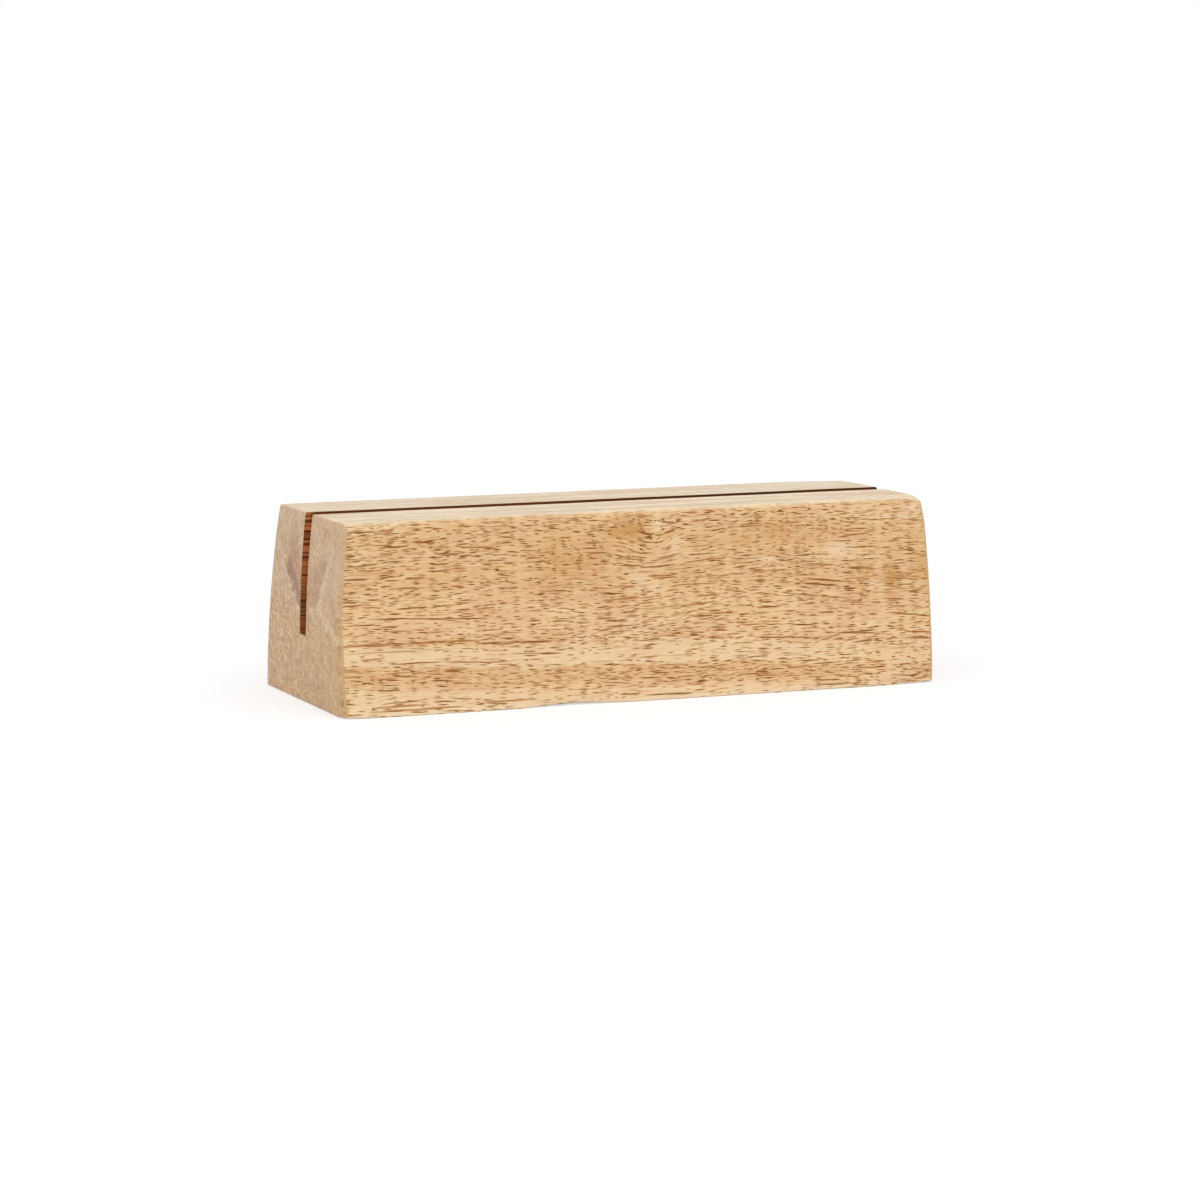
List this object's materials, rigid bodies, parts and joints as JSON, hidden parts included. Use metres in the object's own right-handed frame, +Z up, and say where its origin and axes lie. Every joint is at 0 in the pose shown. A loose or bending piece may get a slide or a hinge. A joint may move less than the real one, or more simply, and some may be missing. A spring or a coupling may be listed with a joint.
{
  "type": "photo block holder",
  "caption": "Low wooden block with leaning faces, rounded edges and a sawn slot along its top that holds a photograph or card upright.",
  "frame": {"origin": "centre of the flat base, on the surface that the block stands on", "axes": "+X along the slot, to the right seen from the front; -Y out of the front face; +Z up, out of the slot's mouth"},
  "size_m": [0.1508, 0.0596, 0.0445],
  "materials": {
    "wood": "sanded smooth, bare or thinly oiled, satin"
  },
  "bodies": {
    "root": {"front_board": "wood", "back_board": "wood", "core_strip": "wood"}
  },
  "joints": []
}
